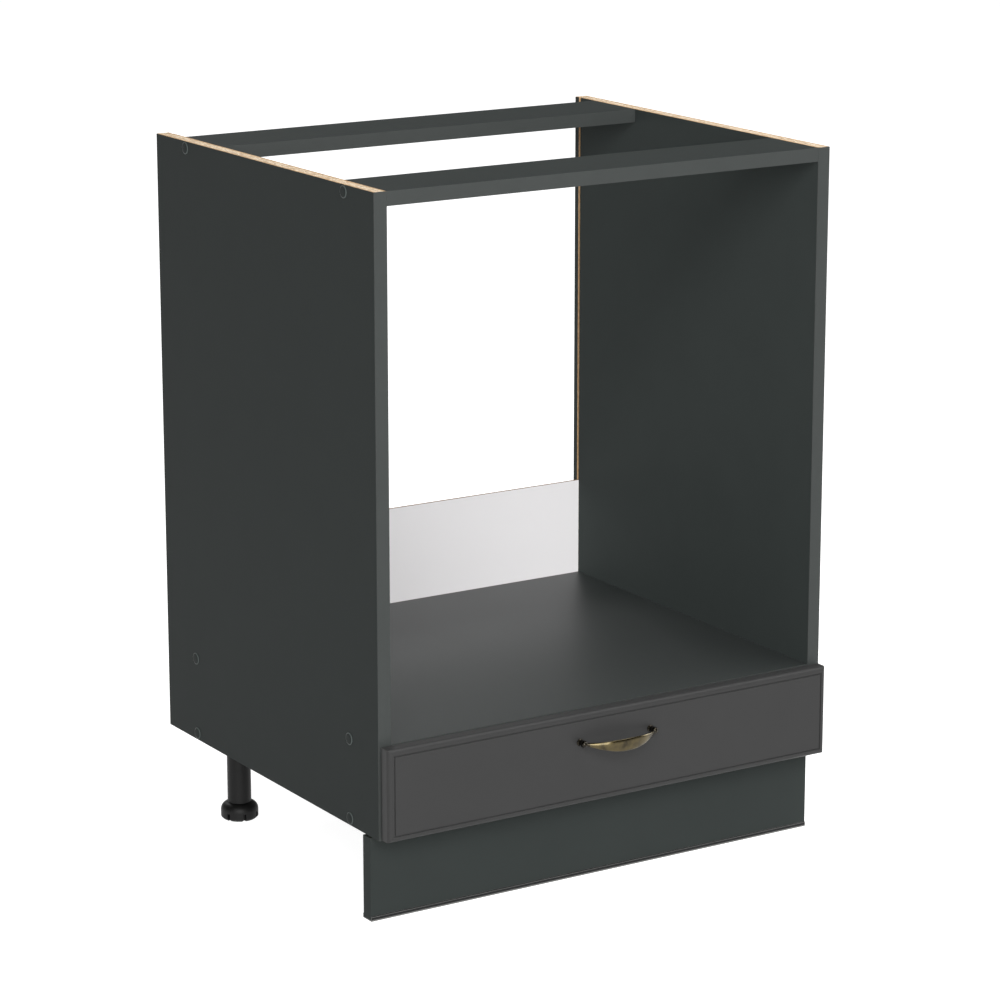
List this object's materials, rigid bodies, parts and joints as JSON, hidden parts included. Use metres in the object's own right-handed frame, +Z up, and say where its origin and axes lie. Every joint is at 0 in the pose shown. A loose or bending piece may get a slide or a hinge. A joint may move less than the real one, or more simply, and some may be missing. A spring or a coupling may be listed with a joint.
{
  "type": "oven housing unit",
  "caption": "Base cabinet on adjustable legs, open at front, top and rear for a built-under oven, with a drop-down flap and clip-on plinth below.",
  "frame": {"origin": "on the floor, under the middle of the unit's box with the flap closed", "axes": "+Z up; +X to the right seen from the front; +Y from the front to the rear"},
  "size_m": [0.6026, 0.5467, 0.82],
  "materials": {
    "graphite_board": "faced chipboard, satin melamine",
    "flap_front": "foiled MDF, satin, white inside",
    "edge_band": "satin",
    "white_fibreboard": "lacquered, satin",
    "black_plastic": "moulded, satin",
    "cap_plastic": "moulded, satin",
    "beech": "turned, raw",
    "aged_brass": "aged, brushed",
    "dark_nickel": "plated dark, satin",
    "nickel_steel": "nickel plated",
    "zinc_steel": "zinc plated",
    "seal_rubber": "matte"
  },
  "bodies": {
    "carcass": {"left_side_panel": "graphite_board", "right_side_panel": "graphite_board", "front_top_rail": "graphite_board", "rear_top_rail": "graphite_board", "oven_shelf": "graphite_board", "bottom_panel": "graphite_board", "edge_bands": "edge_band", "back_strip": "white_fibreboard", "back_screws": "zinc_steel", "connecting_screws": "zinc_steel", "cover_caps": "cap_plastic", "dowels": "beech", "leg_sockets": "black_plastic", "leg_tubes": "black_plastic", "leg_screws": "zinc_steel", "left_hinge_arm": "dark_nickel", "right_hinge_arm": "dark_nickel", "left_mounting_plate": "nickel_steel", "right_mounting_plate": "nickel_steel", "arm_pins": "nickel_steel", "arm_screws": "nickel_steel", "mounting_plate_screws": "nickel_steel"},
    "flap": {"flap_board": "flap_front", "handle": "aged_brass", "handle_screws": "zinc_steel", "left_hinge_cup": "dark_nickel", "right_hinge_cup": "dark_nickel", "cup_screws": "nickel_steel"},
    "left_link": {"left_hinge_link": "dark_nickel", "left_cup_pin": "nickel_steel"},
    "right_link": {"right_hinge_link": "dark_nickel", "right_cup_pin": "nickel_steel"},
    "front_left_leveller": {"front_left_foot": "black_plastic"},
    "front_right_leveller": {"front_right_foot": "black_plastic"},
    "rear_left_leveller": {"rear_left_foot": "black_plastic"},
    "rear_right_leveller": {"rear_right_foot": "black_plastic"},
    "plinth": {"plinth_board": "graphite_board", "plinth_seal": "seal_rubber", "plinth_clips": "black_plastic", "clip_screws": "zinc_steel"}
  },
  "joints": [
    {"name": "flap_hinge", "type": "hinge", "parent": "carcass", "child": "flap", "pos_m": [0, -0.2379, 0.10675], "axis": [1, 0, 0], "range_deg": [0, 90], "stiffness_Nm_per_rad": 0.05, "springref_deg": -34.38},
    {"name": "left_link_pivot", "type": "hinge", "parent": "carcass", "child": "left_link", "pos_m": [-0.203, -0.2367, 0.126], "axis": [1, 0, 0], "range_deg": [-71.5, 0]},
    {"name": "right_link_pivot", "type": "hinge", "parent": "carcass", "child": "right_link", "pos_m": [0.203, -0.2367, 0.126], "axis": [1, 0, 0], "range_deg": [-71.5, 0]},
    {"name": "front_left_leveller_travel", "type": "slide", "parent": "carcass", "child": "front_left_leveller", "axis": [0, 0, -1], "range_m": [0, 0.02]},
    {"name": "front_right_leveller_travel", "type": "slide", "parent": "carcass", "child": "front_right_leveller", "axis": [0, 0, -1], "range_m": [0, 0.02]},
    {"name": "rear_left_leveller_travel", "type": "slide", "parent": "carcass", "child": "rear_left_leveller", "axis": [0, 0, -1], "range_m": [0, 0.02]},
    {"name": "rear_right_leveller_travel", "type": "slide", "parent": "carcass", "child": "rear_right_leveller", "axis": [0, 0, -1], "range_m": [0, 0.02]},
    {"name": "plinth_pull", "type": "slide", "parent": "carcass", "child": "plinth", "axis": [0, -1, 0], "range_m": [0, 0.08]}
  ],
  "couplings": [
    {"joint": "left_link_pivot", "follows": "flap_hinge", "ratio": -0.78705},
    {"joint": "right_link_pivot", "follows": "flap_hinge", "ratio": -0.78705}
  ]
}
